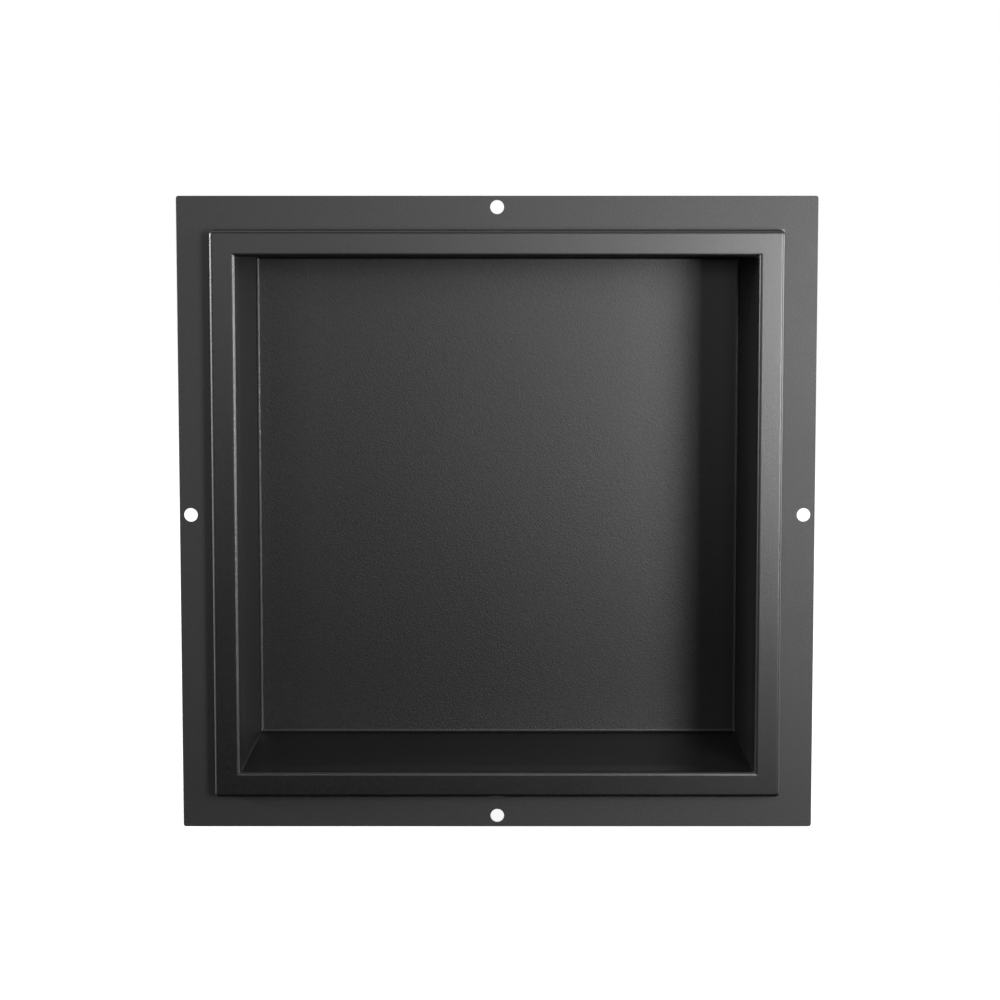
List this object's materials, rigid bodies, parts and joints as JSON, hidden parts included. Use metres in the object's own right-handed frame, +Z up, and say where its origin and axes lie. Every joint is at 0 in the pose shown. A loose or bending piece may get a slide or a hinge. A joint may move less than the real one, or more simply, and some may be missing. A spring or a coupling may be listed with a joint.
{
  "type": "shower niche insert",
  "caption": "Square recessed shower shelf of folded black sheet: an open-fronted box with a raised frame for the tiles and a screw flange that fixes it to the wall.",
  "frame": {"origin": "centre of the screw flange's back plane, where it lies on the wall board", "axes": "+Z up, +Y into the wall so that the open front faces -Y, +X to the right as seen from the room"},
  "size_m": [0.37, 0.101, 0.37],
  "materials": {
    "black_coating": "satin black coating on steel sheet, fine-grained, flatter on the flange"
  },
  "bodies": {
    "root": {"niche_body": "black_coating"}
  },
  "joints": []
}
